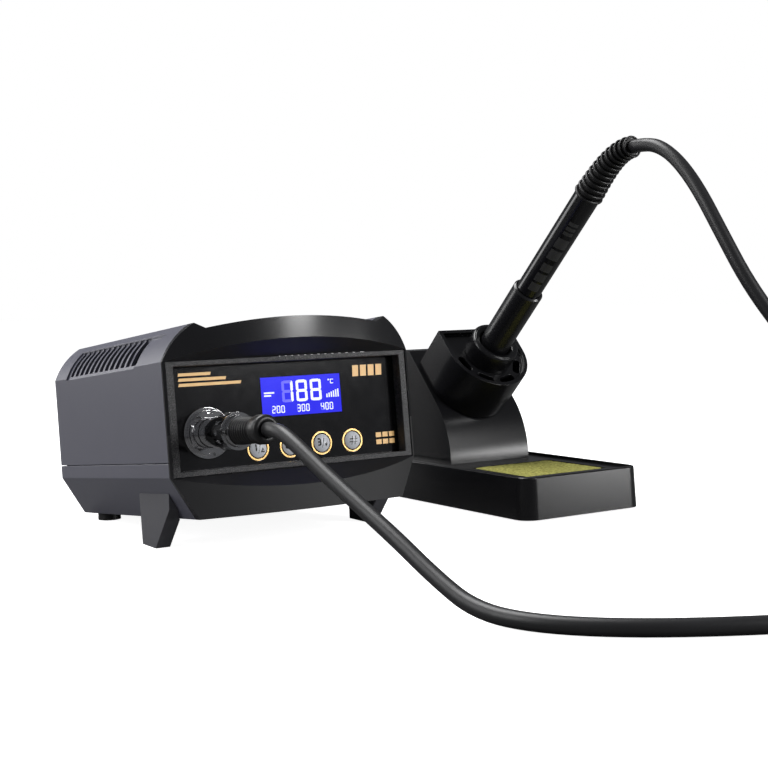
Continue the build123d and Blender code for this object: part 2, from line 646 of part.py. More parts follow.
def column_profile(inset=0.0):
    """Side view of the column: upright front rolling into the sloped face, flat top, raked back."""
    front = COLUMN_U + inset
    slope = (cos(radians(LEAN)), sin(radians(LEAN)))
    shift = inset * (1 - cos(radians(LEAN))) / sin(radians(LEAN))
    crest = (CREST_U + shift, COLUMN_TOP - inset)
    corner_z = crest[1] - (crest[0] - front) * slope[1] / slope[0]
    radius = SLOPE_R - inset
    run = radius * tan(radians((90 - LEAN) / 2))
    start = (front, corner_z - run)
    end = (front + run * slope[0], corner_z + run * slope[1])
    centre = (front + radius, start[1])
    half = radians(180 - (90 - LEAN) / 2)
    middle = (centre[0] + radius * cos(half), centre[1] + radius * sin(half))
    foot_z = DECK_Z if inset == 0 else DECK_Z - 5
    back_top = (130 - inset, crest[1])
    back_low = (COLUMN_BACK - inset, foot_z)
    edges = [ThreePointArc(start, middle, end), Line(end, crest), Line(crest, back_top),
             Line(back_top, back_low)]
    if start[1] - foot_z > 1e-6:
        edges += [Line(back_low, (front, foot_z)), Line((front, foot_z), start)]
    else:
        edges.append(Line(back_low, start))
    return Plane.YZ * make_face(edges)


def column():
    width = TRAY_W - 2 * COLUMN_V
    outer = Pos(COLUMN_V, 0, 0) * extrude(column_profile(), width)
    outer &= block(0, TRAY_W, 0, TRAY_L, DECK_Z + GAP, 200)
    inner = Pos(COLUMN_V + WALL, 0, 0) * extrude(column_profile(WALL), width - 2 * WALL)
    shell = outer - inner
    for x, y in STAND_SCREWS:
        shell += rod_z(3.2, DECK_Z + GAP, DECK_Z + 12, x, y)
        shell -= rod_z(1.1, DECK_Z - 1, DECK_Z + 10, x, y)
    bore = STAND.inverse() * IRON * rod_z(LINER_R + LINER_T, -90, 20)
    return shell - bore


def cup_bar(inset, z0, z1):
    """The cup's section, round in front and flat behind, from z0 to z1 along the iron."""
    radius = CUP_R - inset
    flat = CUP_FLAT - inset
    edges = [ThreePointArc((-radius, 0), (0, -radius), (radius, 0)), Line((radius, 0), (radius, flat)),
             Line((radius, flat), (-radius, flat)), Line((-radius, flat), (-radius, 0))]
    return Pos(0, 0, z0) * extrude(make_face(edges), z1 - z0)


def cup():
    """Moulded cup: a rim, a recessed plate with slots around the collar, open behind."""
    body = cup_bar(0, -CUP_LENGTH + GAP, 0)
    body -= cup_bar(WALL, PLATE_TOP, 1)
    body -= cup_bar(WALL, -CUP_LENGTH - 1, PLATE_TOP - PLATE_T)
    body -= Pos(0, IRON_OFFSET, 0) * rod_z(COLLAR_OUT + GAP, -40, 5)
    for turn in (-165, -120, -75, -30, 15):
        slot = extrude(SlotCenterToCenter(5.6, 4.0), 10)
        place = Pos(0, IRON_OFFSET, PLATE_TOP - 6) * Rot(0, 0, turn) * Pos(SLOT_RING, 0, 0)
        body -= place * Rot(0, 0, 90) * slot
    return body


def collar():
    """Heat resistant collar that the iron drops into."""
    flange = COLLAR_OUT + 1.4
    return turned([(COLLAR_IN, -14), (COLLAR_OUT, -14), (COLLAR_OUT, PLATE_TOP + GAP),
                   (flange, PLATE_TOP + GAP), (flange, COLLAR_TOP - 1), (flange - 0.8, COLLAR_TOP),
                   (COLLAR_OUT, COLLAR_TOP), (COLLAR_IN, COLLAR_TOP - 0.8)])


def liner():
    """Steel tube that guards the hot tip, with air holes near its end."""
    low, high = -70.0, -9.0
    tube = rod_z(LINER_R, low, high) - rod_z(LINER_R - LINER_T, low - 1, high + 1)
    for level in (-62, -50):
        for turn in (0, 60, 120):
            tube -= Rot(0, 0, turn) * Pos(0, 0, level) * Rot(90, 0, 0) * Cylinder(1.7, 40)
    return tube


def sponge():
    return block(SPONGE_V, TRAY_W - SPONGE_V, SPONGE_U, SPONGE_U + SPONGE_L,
                 DECK_Z - SPONGE_DEPTH, DECK_Z + 0.3)


def build_stand():
    add("stand_tray", tray(), STAND)
    add("stand_column", column(), STAND)
    add("holder_cup", cup(), HOLDER)
    add("holder_collar", collar(), IRON)
    add("holder_liner", liner(), IRON)
    add("sponge", sponge(), STAND)
    feet = [rod_z(FOOT_R, 0, FOOT_TOP - GAP, x, y)
            for x in (FOOT_INSET, TRAY_W - FOOT_INSET) for y in (FOOT_INSET, TRAY_L - FOOT_INSET)]
    add("stand_feet", group(feet), STAND)
    screws = [Pos(x, y, DECK_Z - 8 - GAP) * Rot(180, 0, 0) * bolt(1.0, 14, 2.6, 1.8)
              for x, y in STAND_SCREWS]
    add("stand_screws", group(screws), STAND)


# ================================================================ iron
def iron_handle():
    """Hollow handle, stepped to slide into the grip sleeve."""
    outer = [(HANDLE_R - 0.25, -8), (HANDLE_R, SLEEVE_TOP + 2), (HANDLE_R - 0.1, HANDLE_TOP - 1),
             (HANDLE_R - 0.8, HANDLE_TOP)]
    inner = [(4.6, HANDLE_TOP), (4.6, -8)]
    return turned(outer + inner)


def grip_sleeve():
    bore = HANDLE_R + GAP
    return turned([(bore, -10), (SLEEVE_R - 0.8, -10), (SLEEVE_R, -8), (SLEEVE_R, SLEEVE_TOP - 0.8),
                   (SLEEVE_R - 0.8, SLEEVE_TOP), (bore, SLEEVE_TOP)])


def iron_nut():
    """Knurled nut that keeps the barrel on the handle."""
    bore = BARREL_R + 0.35
    return turned([(bore, NUT_END), (6.2, NUT_END), (6.8, NUT_END + 1), (6.8, NUT_TOP - 1),
                   (6.2, NUT_TOP), (bore, NUT_TOP)])


def iron_barrel():
    bore = rod_z(BARREL_R - 0.5, BARREL_END - 1, -9)
    return rod_z(BARREL_R, BARREL_END, -11) + rod_z(5.6, NUT_TOP + 0.3, NUT_TOP + 1.8) - bore


def iron_tip():
    """Conical bit over the heater."""
    shoulder = BARREL_END - GAP
    return turned([(0, TIP_END), (0.3, TIP_END), (BARREL_R, shoulder - 4), (BARREL_R, shoulder),
                   (2.6, shoulder), (2.6, -40), (1.9, -40), (1.9, shoulder - 2), (0, shoulder - 2)])


def heater():
    """Ceramic heater rod on its terminal base inside the handle."""
    return rod_z(1.75, BARREL_END - 1.5, 2) + rod_z(4.3, 2, 12)


def terminal_board():
    return block(-3.6, 3.6, -0.6, 0.6, 14, 46)


def iron_boot():
    """Ribbed boot that droops under the lead's weight, more and more towards its thin end."""
    steps = 24
    stride = BOOT_LENGTH / steps

    def droop(share):
        return BOOT_DROOP * share ** 2.5

    frames = [Pos(0, 0, HANDLE_TOP)]
    for number in range(steps):
        bend = droop((number + 1) / steps) - droop(number / steps)
        frames.append(frames[-1] * Rot(bend / 2, 0, 0) * Pos(0, 0, stride) * Rot(bend / 2, 0, 0))
    body = loft([frame * Circle(4.9 - 1.3 * number / steps)
                 for number, frame in enumerate(frames) if number % 4 == 0])
    for number in range(BOOT_RIBS):
        spot = 2 + round(number * (steps - 3) / (BOOT_RIBS - 1))
        body += frames[min(spot, steps)] * Pos(0, 0, -1.2) * Cylinder(6.0 - 1.5 * spot / steps, 1.9)
    return body, frames[-1]


def build_iron():
    add("iron_handle", iron_handle(), IRON)
    add("grip_sleeve", grip_sleeve(), IRON)
    add("iron_nut", iron_nut(), IRON)
    add("iron_barrel", iron_barrel(), IRON)
    add("iron_tip", iron_tip(), IRON)
    add("heater", heater(), IRON)
    add("terminal_board", terminal_board(), IRON)
    boot, exit_frame = iron_boot()
    add("iron_boot", boot, IRON)
    return IRON * exit_frame


# ================================================================ lead
def tube_along(points):
    """A round lead along straight runs joined by the largest arcs that their corners leave room for."""
    corners = [Vector(*point) for point in points]
    radii = []
    for before, here, after in zip(corners, corners[1:], corners[2:]):
        turn = radians((here - before).get_angle(after - here))
        run = min((here - before).length, (after - here).length)
        radii.append(0.45 * run / tan(turn / 2))
    path = FilletPolyline(*corners, radius=radii)
    start = Plane(origin=path @ 0, z_dir=path % 0)
    print("lead radii", [round(r) for r in radii], "length", round(path.length, 1))
    return sweep(start * Circle(CORD_D / 2), path=path), path.length


def plug_side_route():
    start = UNIT * Pos(SOCKET_X, PANEL_Y - PLUG_BOOT_END, SOCKET_Z)
    first = start.position
    floor = CORD_D / 2 + 0.1
    return [
        (first.X, first.Y, first.Z),
        (19.5, -57.6, 56.2),
        (20.4, -68.6, 52.0),
        (22.4, -86.5, 42.6),
        (24.8, -107.0, 32.7),
        (27.4, -128.0, 22.6),
        (29.6, -148.0, 12.2),
        (31.4, -168.0, 4.2),
        (37.0, -190.5, floor),
        (56.0, -214.0, floor),
        (90.0, -236.0, floor),
        (128.0, -252.0, floor),
        (160.0, -261.5, floor),
        (182.0, -263.5, floor),
        (197.5, -256.0, floor),
        (COIL_X, -243.0, floor),
        (COIL_X, COIL_Y - COIL_OUT + COIL_FLAT - COIL_GAP, floor),
    ]


def iron_side_route(exit_frame):
    first = exit_frame.position
    return [
        (first.X, first.Y, first.Z),
        (198.1, -72.6, 169.9),
        (198.2, -82.9, 166.3),
        (198.5, -92.8, 158.5),
        (198.9, -102.9, 146.4),
        (199.8, -113.0, 130.0),
        (203.5, -125.5, 106.5),
        (211.5, -139.5, 84.0),
        (221.5, -153.5, 62.0),
        (232.0, -169.0, 44.0),
        (238.0, -177.0, 26.5),
        (238.0, -177.0, COIL_H + COIL_GAP),
    ]


def coil():
    """The put-away turns as one closed ring, flat where the lead arrives."""
    ring = rod_z(COIL_OUT, 0.1, COIL_H, COIL_X, COIL_Y) - rod_z(COIL_IN, -1, COIL_H + 1, COIL_X, COIL_Y)
    front = COIL_Y - COIL_OUT
    return ring - block(COIL_X - 50, COIL_X + 50, front - 5, front + COIL_FLAT, -1, COIL_H + 1)


def build_lead(exit_frame):
    plug_side, plug_length = tube_along(plug_side_route())
    iron_side, iron_length = tube_along(iron_side_route(exit_frame))
    add("cord_plug_side", plug_side)
    add("cord_iron_side", iron_side)
    add("cord_coil", coil())
    print("free lead", round(plug_length), round(iron_length), "volume over section times length",
          round(plug_side.volume / (pi * CORD_D ** 2 / 4 * plug_length), 4),
          round(iron_side.volume / (pi * CORD_D ** 2 / 4 * iron_length), 4))


LEAD_NODES = ("cord_plug_side", "cord_coil", "cord_iron_side", "plug_shell", "plug_ring", "plug_clamp",
              "plug_boot")


def centre_on_footprint():
    """Move everything so that the object's own box stands centred on the origin."""
    low = [1e9, 1e9]
    high = [-1e9, -1e9]
    for name, shape in NODES.items():
        if name in LEAD_NODES:
            continue
        box = shape.bounding_box()
        low = [min(low[0], box.min.X), min(low[1], box.min.Y)]
        high = [max(high[0], box.max.X), max(high[1], box.max.Y)]
    shift = Pos(-(low[0] + high[0]) / 2, -(low[1] + high[1]) / 2, 0)
    for name in NODES:
        NODES[name] = shift * NODES[name]
    return shift


build_unit()
build_stand()
IRON_EXIT = build_iron()
build_lead(IRON_EXIT)
SHIFT = centre_on_footprint()
print("shift", SHIFT.position, "nodes", len(NODES))
os.makedirs("parts", exist_ok=True)
for node_name, node_shape in NODES.items():
    export_step(node_shape, f"parts/{node_name}.step")
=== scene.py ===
"""Soldering iron station: how it looks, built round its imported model.

Sizes are in metres in the model's own frame: +X to the right, -Y towards the user, +Z up.
Each section makes one piece, or one group of like pieces, with its mesh, finish and motion.
"""
from math import cos, pi, radians, sin, tau

import bmesh
import bpy
from mathutils import Matrix, Vector
from mathutils import noise as foam
from mathutils.bvhtree import BVHTree


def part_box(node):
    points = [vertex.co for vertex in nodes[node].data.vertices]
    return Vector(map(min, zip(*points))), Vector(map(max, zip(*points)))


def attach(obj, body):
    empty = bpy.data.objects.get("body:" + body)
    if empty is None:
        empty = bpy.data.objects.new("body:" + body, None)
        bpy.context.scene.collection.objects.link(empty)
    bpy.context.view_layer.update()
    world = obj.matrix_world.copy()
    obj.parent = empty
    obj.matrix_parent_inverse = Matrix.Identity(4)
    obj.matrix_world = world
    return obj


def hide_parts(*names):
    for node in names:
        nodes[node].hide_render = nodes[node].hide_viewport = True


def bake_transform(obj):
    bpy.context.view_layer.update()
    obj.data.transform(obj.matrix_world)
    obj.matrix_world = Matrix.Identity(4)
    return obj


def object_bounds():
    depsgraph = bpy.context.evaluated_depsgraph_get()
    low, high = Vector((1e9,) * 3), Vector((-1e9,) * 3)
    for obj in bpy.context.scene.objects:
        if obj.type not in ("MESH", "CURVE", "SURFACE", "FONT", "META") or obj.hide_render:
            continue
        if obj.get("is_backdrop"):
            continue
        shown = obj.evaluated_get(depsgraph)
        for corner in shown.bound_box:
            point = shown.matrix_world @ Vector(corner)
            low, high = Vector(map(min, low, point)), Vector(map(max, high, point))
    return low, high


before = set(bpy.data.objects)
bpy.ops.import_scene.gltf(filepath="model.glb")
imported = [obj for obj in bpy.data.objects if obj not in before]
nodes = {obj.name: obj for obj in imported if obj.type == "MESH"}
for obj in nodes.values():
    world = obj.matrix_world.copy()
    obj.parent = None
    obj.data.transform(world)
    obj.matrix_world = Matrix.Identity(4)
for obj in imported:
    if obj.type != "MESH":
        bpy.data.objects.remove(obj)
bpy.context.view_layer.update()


# ---------------------------------------------------------------- camera, floor and lights
# A long lens stands front left of the stand's tray, a little above the panel, and leans slightly.
# The floor is a wide pale sheet, and the light is five soft boxes in a dim white room.
HEADING = radians(31.82)
LOOK_DOWN = radians(3.61)
LEAN = radians(-1.56)
tray_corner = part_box("stand_tray")[0]
camera = bpy.data.objects.new("camera", bpy.data.cameras.new("camera"))
bpy.context.scene.collection.objects.link(camera)
camera.data.lens = 64.98
camera.data.sensor_width = 36.0
camera.data.clip_start = 0.02
camera.matrix_world = (Matrix.Translation((tray_corner.x - 0.3872, tray_corner.y - 0.5036, 0.1061))
                       @ Matrix.Rotation(-HEADING, 4, "Z") @ Matrix.Rotation(pi / 2 - LOOK_DOWN, 4, "X")
                       @ Matrix.Rotation(LEAN, 4, "Z"))
bpy.context.scene.camera = camera
bpy.context.scene.view_settings.view_transform = "Standard"


class Signal:
    """A value that varies over a surface; arithmetic on it adds Math nodes."""

    def __init__(self, tree, socket):
        self.tree = tree
        self.socket = socket

    def math(self, operation, first, second=None):
        node = self.tree.nodes.new("ShaderNodeMath")
        node.operation = operation
        for slot, value in zip(node.inputs, (first, second)):
            if isinstance(value, Signal):
                self.tree.links.new(value.socket, slot)
            elif value is not None:
                slot.default_value = value
        return Signal(self.tree, node.outputs[0])

    def __add__(self, other):
        return self.math("ADD", self, other)

    def __radd__(self, other):
        return self.math("ADD", other, self)

    def __sub__(self, other):
        return self.math("SUBTRACT", self, other)

    def __rsub__(self, other):
        return self.math("SUBTRACT", other, self)

    def __mul__(self, other):
        return self.math("MULTIPLY", self, other)

    def __gt__(self, other):
        return self.math("GREATER_THAN", self, other)

    def clamped(self):
        return self.math("MINIMUM", self.math("MAXIMUM", self, 0.0), 1.0)


class Finish:
    """One material: a Principled shader and the nodes that feed it."""

    def __init__(self, name, **values):
        self.material = bpy.data.materials.new(name)
        self.material.use_nodes = True
        self.tree = self.material.node_tree
        self.shader = self.tree.nodes["Principled BSDF"]
        for socket, value in values.items():
            label = socket.replace("_", " ").title().replace("Ior", "IOR")
            self.shader.inputs[label].default_value = value

    def node(self, kind, settings=(), values=(), output=0):
        """Add a node, set its settings first and then its inputs, and give one of its outputs."""
        made = self.tree.nodes.new("ShaderNode" + kind)
        for name, value in dict(settings).items():
            setattr(made, name, value)
        for name, value in dict(values).items():
            if isinstance(value, Signal):
                self.tree.links.new(value.socket, made.inputs[name])
            else:
                made.inputs[name].default_value = value
        return Signal(self.tree, made.outputs[output])

    def feed(self, socket, value):
        """Let a value drive one of the shader's sockets."""
        self.tree.links.new(value.socket, self.shader.inputs[socket])

    def place(self, scale=(1, 1, 1)):
        """Object coordinates, stretched by scale."""
        raw = self.node("TexCoord", output="Object")
        return self.node("Mapping", values={"Vector": raw, "Scale": scale})

    def noise(self, size, detail=2.0, stretch=(1, 1, 1)):
        """Noise from 0 to 1 with grains of a given size in metres."""
        return self.node("TexNoise", values={"Vector": self.place(stretch), "Scale": 1 / size,
                                             "Detail": detail})

    def between(self, dark, light, amount):
        """A colour between two colours."""
        return self.node("Mix", {"data_type": "RGBA"},
                         {"Factor": amount, 6: (*dark, 1), 7: (*light, 1)}, 2)

    def tint(self, dark, light, amount):
        """Base colour between two colours."""
        self.feed("Base Color", self.between(dark, light, amount))

    def bump(self, height, distance):
        """Fine relief: where height is 1 it stands a distance in metres above where it is 0."""
        self.feed("Normal", self.node("Bump", values={"Height": height, "Distance": distance,
                                                      "Strength": 1.0}))


def shade(colour, factor):
    """A colour made lighter or darker."""
    return tuple(min(1.0, part * factor) for part in colour)


FLOOR_GLOW = 0.93
floor_finish = Finish("studio_floor", roughness=0.9, emission_strength=FLOOR_GLOW)
direct = floor_finish.node("LightPath", output="Is Camera Ray")
floor_finish.tint((0.12, 0.12, 0.12), (0.8, 0.8, 0.8), direct)
floor_finish.feed("Emission Color", floor_finish.between((0, 0, 0), (1, 1, 1), direct))
floor_mesh = bpy.data.meshes.new("studio_floor")
floor_mesh.from_pydata([(-6, -6, 0), (6, -6, 0), (6, 9, 0), (-6, 9, 0)], [], [(0, 1, 2, 3)])
floor_mesh.materials.append(floor_finish.material)
floor = bpy.data.objects.new("studio_floor", floor_mesh)
bpy.context.scene.collection.objects.link(floor)
floor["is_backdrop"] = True

room = bpy.data.worlds.new("room")
bpy.context.scene.world = room
room.use_nodes = True
room_nodes = room.node_tree.nodes
room_links = room.node_tree.links
seen = room_nodes["Background"]
seen.inputs["Color"].default_value = (1, 1, 1, 1)
seen.inputs["Strength"].default_value = 1.0
glow = room_nodes.new("ShaderNodeBackground")
glow.inputs["Color"].default_value = (0.93, 0.95, 1, 1)
glow.inputs["Strength"].default_value = 0.13
path_kind = room_nodes.new("ShaderNodeLightPath")
either = room_nodes.new("ShaderNodeMixShader")
room_links.new(path_kind.outputs["Is Camera Ray"], either.inputs[0])
room_links.new(glow.outputs[0], either.inputs[1])
room_links.new(seen.outputs[0], either.inputs[2])
room_links.new(either.outputs[0], room_nodes["World Output"].inputs["Surface"])


def soft_box(name, place, target, width, height, power):
    """A rectangular lamp that faces a target; sizes in metres, power in watts."""
    lamp = bpy.data.lights.new(name, "AREA")
    lamp.shape = "RECTANGLE"
    lamp.size = width
    lamp.size_y = height
    lamp.energy = power
    holder = bpy.data.objects.new(name, lamp)
    bpy.context.scene.collection.objects.link(holder)
    place = Vector(place)
    way = Vector(target) - place
    holder.matrix_world = Matrix.Translation(place) @ way.to_track_quat("-Z", "Y").to_matrix().to_4x4()


soft_box("overhead_box", (-0.2, 0.45, 1.2), (-0.05, 0, 0.05), 0.9, 0.6, 16)
soft_box("left_box", (-1.35, 0.15, 0.7), (-0.1, 0, 0.08), 0.6, 0.9, 8)
soft_box("rear_left_box", (-0.62, 1.1, 0.45), (0.0, 0, 0.1), 0.4, 0.7, 3.5)
soft_box("front_box", (0.56, -1.15, 0.53), (-0.03, 0, 0.08), 0.24, 0.46, 8)
soft_box("front_strip", (0.72, -0.735, 0.06), (0.06, -0.07, 0.02), 0.24, 0.11, 2)


# ---------------------------------------------------------------- lead
# One round silicone lead, 6 mm thick and 1.25 m long, from the iron's boot to the plug.
# It droops from the iron into a put-away coil of three turns and comes back along the table.
# Its points are in millimetres from the panel opening's front left corner, on the table.
MM = 0.001
LEAD_THICK = 6 * MM
LYING = 3.1
STACKED = 9.2
COIL_MIDDLE = (207.0, -190.0)
drawing = Vector((tray_corner.x - 162.1 * MM, tray_corner.y + 26.4 * MM, 0))
iron_side = [
    (198.1, -62.4, 169.42),
    (198.1, -72.6, 169.9),
    (198.2, -82.9, 166.3),
    (198.5, -92.8, 158.5),
    (198.9, -102.9, 146.4),
    (199.8, -113.0, 130.0),
    (203.5, -125.5, 106.5),
    (211.5, -139.5, 84.0),
    (221.5, -153.5, 62.0),
    (232.0, -169.0, 42.0),
    (239.0, -178.0, 24.5),
    (240.3, -188.0, 13.0),
]
plug_side = [
    (212.0, -239.0, LYING),
    (199.0, -254.0, LYING),
    (182.0, -263.5, LYING),
    (160.0, -261.5, LYING),
    (128.0, -252.0, LYING),
    (90.0, -236.0, LYING),
    (56.0, -214.0, LYING),
    (37.0, -190.5, LYING),
    (31.4, -168.0, 4.2),
    (29.6, -148.0, 12.2),
    (27.4, -128.0, 22.6),
    (24.8, -107.0, 32.7),
    (22.4, -86.5, 42.6),
    (20.4, -68.6, 52.0),
    (19.5, -57.6, 56.2),
    (19.4, -49.06, 55.8),
]


def coil_turn(start, end, radius_from, radius_to, z_from, z_to):
    """Points along a turn, 24 to the whole circle, from one angle in degrees to another."""
    steps = round(abs(end - start) / 15)
    made = []
    for step in range(steps):
        share = step / steps
        angle = radians(start + (end - start) * share)
        radius = radius_from + (radius_to - radius_from) * share
        made.append((COIL_MIDDLE[0] + radius * cos(angle), COIL_MIDDLE[1] + radius * sin(angle),
                     z_from + (z_to - z_from) * share))
    return made


coil_points = (coil_turn(-15, -360, 33, 32.6, STACKED, STACKED)
               + coil_turn(-360, -405, 32.6, 30, STACKED, LYING)
               + coil_turn(-405, -765, 30, 30, LYING, LYING)
               + coil_turn(-765, -780, 30, 36, LYING, LYING)
               + coil_turn(-780, -1120, 36, 36, LYING, LYING))


def smooth_line(name, points, thickness):
    """A NURBS curve in the drawing's millimetres, with the points as its control points."""
    line = bpy.data.curves.new(name, "CURVE")
    line.dimensions = "3D"
    line.resolution_u = 6
    line.bevel_depth = thickness / 2
    line.bevel_resolution = 5
    line.use_fill_caps = True
    spline = line.splines.new("NURBS")
    spline.points.add(len(points) - 1)
    for point, (x, y, z) in zip(spline.points, points):
        point.co = (*(drawing + Vector((x, y, z)) * MM), 1)
    spline.order_u = 3
    spline.use_endpoint_u = True
    return line


def as_mesh(name, source):
    """The final mesh of a curve or of an object with modifiers, as plain data; the source goes."""
    thing = source
    if not isinstance(source, bpy.types.Object):
        thing = bpy.data.objects.new(name, source)
        bpy.context.scene.collection.objects.link(thing)
    graph = bpy.context.evaluated_depsgraph_get()
    graph.update()
    mesh = bpy.data.meshes.new_from_object(thing.evaluated_get(graph), depsgraph=graph)
    bpy.data.objects.remove(thing)
    mesh.name = name
    return mesh


def piece(name, mesh, finish=None, smooth=True):
    """A finished piece at the origin, with its place in its mesh."""
    made = bpy.data.objects.new(name, mesh)
    bpy.context.scene.collection.objects.link(made)
    if finish is not None:
        mesh.materials.clear()
        mesh.materials.append(finish.material)
    if smooth:
        mesh.shade_smooth()
    return made


route = iron_side + coil_points + plug_side
lead_path = [tuple(v.co) for v in as_mesh("lead_path", smooth_line("lead_path", route, 0)).vertices]
rubber = Finish("lead_rubber", roughness=0.4, specular_ior_level=0.5)
rubber_grain = rubber.noise(0.0009, 3)
rubber.tint((0.012, 0.012, 0.013), (0.02, 0.02, 0.022), rubber.noise(0.02))
rubber.feed("Roughness", 0.34 + rubber_grain * 0.14)
rubber.bump(rubber_grain, 0.00002)
lead = piece("lead", as_mesh("lead", smooth_line("lead", route, LEAD_THICK)), rubber)
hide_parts("cord_plug_side", "cord_coil", "cord_iron_side")
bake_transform(lead)


# ---------------------------------------------------------------- shells of the control unit
# Upper and lower shells moulded in blue-grey ABS with a fine spark-eroded grain.  They close on a
# groove along the sides and are held by four screws from below.


def moulded(name, colour, roughness, grain=0.6 * MM, depth=0.012 * MM):
    """Moulded plastic: an even colour with slight clouding and a fine grain."""
    made = Finish(name, specular_ior_level=0.5)
    fine = made.noise(grain, 3)
    made.tint(shade(colour, 0.95), shade(colour, 1.05), made.noise(30 * MM))
    made.feed("Roughness", roughness - 0.06 + fine * 0.12)
    made.bump(fine, depth)
    return made


def dress(finish, *names):
    """Give CAD nodes a finish."""
    for name in names:
        mesh = nodes[name].data
        mesh.materials.clear()
        mesh.materials.append(finish.material)


SHARP_FROM = radians(33)
smooth_faces = bpy.data.node_groups.new("smooth_faces", "GeometryNodeTree")
smooth_faces.interface.new_socket("Geometry", in_out="INPUT", socket_type="NodeSocketGeometry")
smooth_faces.interface.new_socket("Geometry", in_out="OUTPUT", socket_type="NodeSocketGeometry")
entry = smooth_faces.nodes.new("NodeGroupInput")
leave = smooth_faces.nodes.new("NodeGroupOutput")
fold = smooth_faces.nodes.new("GeometryNodeInputMeshEdgeAngle")
steep = smooth_faces.nodes.new("FunctionNodeCompare")
steep.inputs["B"].default_value = SHARP_FROM
all_smooth = smooth_faces.nodes.new("GeometryNodeSetShadeSmooth")
sharp = smooth_faces.nodes.new("GeometryNodeSetShadeSmooth")
sharp.domain = "EDGE"
sharp.inputs["Shade Smooth"].default_value = False
smooth_faces.links.new(entry.outputs[0], all_smooth.inputs[0])
smooth_faces.links.new(all_smooth.outputs[0], sharp.inputs[0])
smooth_faces.links.new(fold.outputs["Unsigned Angle"], steep.inputs["A"])
smooth_faces.links.new(steep.outputs[0], sharp.inputs["Selection"])
smooth_faces.links.new(sharp.outputs[0], leave.inputs[0])


def soften(width, *names):
    """Break the sharp edges of CAD nodes, as a mould or a machinist would.

    The facets of a flat face are joined first, and the normals are weighted by face last.
    """
    for name in names:
        node = nodes[name]
        weld = node.modifiers.new("weld", "WELD")
        weld.merge_threshold = 0.002 * MM
        flat = node.modifiers.new("flat_faces", "DECIMATE")
        flat.decimate_type = "DISSOLVE"
        flat.angle_limit = radians(0.4)
        edge = node.modifiers.new("edges", "BEVEL")
        edge.width = width
        edge.segments = 3
        edge.limit_method = "ANGLE"
        edge.angle_limit = radians(24)
        node.modifiers.new("smooth", "NODES").node_group = smooth_faces
        even = node.modifiers.new("even_normals", "WEIGHTED_NORMAL")
        even.keep_sharp = True


cover_grey = moulded("cover_grey", (0.114, 0.114, 0.145), 0.36, grain=0.35 * MM, depth=0.008 * MM)
dress(cover_grey, "top_cover", "base_shell", "rear_panel")
soften(0.5 * MM, "top_cover", "base_shell")


# ---------------------------------------------------------------- front moulding and frame
# The nose is one gloss black moulding, convex in plan, opened by two slanted facets.  The frame
# behind it is matte with a speckled texture and holds the panel in a shallow recess.
gloss = Finish("nose_gloss", roughness=0.2, specular_ior_level=0.55)
cloud = gloss.noise(25 * MM)
gloss.tint((0.006, 0.006, 0.007), (0.012, 0.012, 0.014), cloud)
panel_low, panel_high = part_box("front_panel")
above = gloss.node("SeparateXYZ", {}, {"Vector": gloss.place()}, "Z") - (panel_low.z + panel_high.z) / 2
upward = gloss.node("SeparateXYZ", {}, {"Vector": gloss.node("TexCoord", output="Normal")}, "Z")
slanted_facet = (0.0 - above * upward) > 0.5 * MM
gloss.feed("Roughness", 0.17 + cloud * 0.07 + slanted_facet * 0.4)
gloss.bump(gloss.noise(1.5 * MM), 0.004 * MM)
dress(gloss, "front_moulding")
soften(0.5 * MM, "front_moulding")

speckled = Finish("frame_speckle", roughness=0.6)
dots = (speckled.noise(0.3 * MM, 1) > 0.55) * speckled.noise(0.15 * MM)
speckled.tint((0.022, 0.022, 0.024), (0.17, 0.17, 0.175), dots.clamped())
speckled.feed("Roughness", 0.62 - dots * 0.2)
speckled.bump(speckled.noise(0.35 * MM, 3), 0.03 * MM)
dress(speckled, "panel_frame")
soften(0.35 * MM, "panel_frame")


# ---------------------------------------------------------------- front panel and its print
# A gloss black sheet with gold print.  The print is plain bars where a maker would put a name.
# It is placed in the unit's own frame, which starts at the opening's lower left corner and is
# pitched up on the tall front legs.
OPENING_HEIGHT = 33.2 * MM
UNIT_PITCH = radians(5.5)
PANEL_FACE = 6 * MM
unit_place = (Matrix.Translation(drawing + Vector((0, 0, OPENING_HEIGHT)))
              @ Matrix.Rotation(-UNIT_PITCH, 4, "X"))
panel_black = Finish("panel_black", roughness=0.1, coat_weight=0.4, coat_roughness=0.05)
panel_black.tint((0.003, 0.003, 0.004), (0.006, 0.006, 0.007), panel_black.noise(12 * MM))
panel_black.feed("Roughness", 0.08 + panel_black.noise(4 * MM) * 0.06)
dress(panel_black, "front_panel")


def flat_shapes(name, outlines, proud, finish, place=unit_place, thick=0.05 * MM):
    """Thin raised shapes facing -Y: each outline is a loop of (x, z) in millimetres."""
    mesh = bpy.data.meshes.new(name)
    build = bmesh.new()
    for outline in outlines:
        front = [build.verts.new((x * MM, proud, z * MM)) for x, z in outline]
        back = [build.verts.new((x * MM, proud + thick, z * MM)) for x, z in outline]
        build.faces.new(front)
        build.faces.new(reversed(back))
        for number in range(len(outline)):
            after = (number + 1) % len(outline)
            build.faces.new((front[after], front[number], back[number], back[after]))
    bmesh.ops.recalc_face_normals(build, faces=build.faces)
    build.transform(place)
    build.to_mesh(mesh)
    build.free()
    made = piece(name, mesh, finish, smooth=False)
    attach(made, "root")
    return made


def bar(x, z, width, height, slant=0.0):
    """The outline of a bar; slant moves its top to the right."""
    return [(x, z), (x + width, z), (x + width + slant, z + height), (x + slant, z + height)]


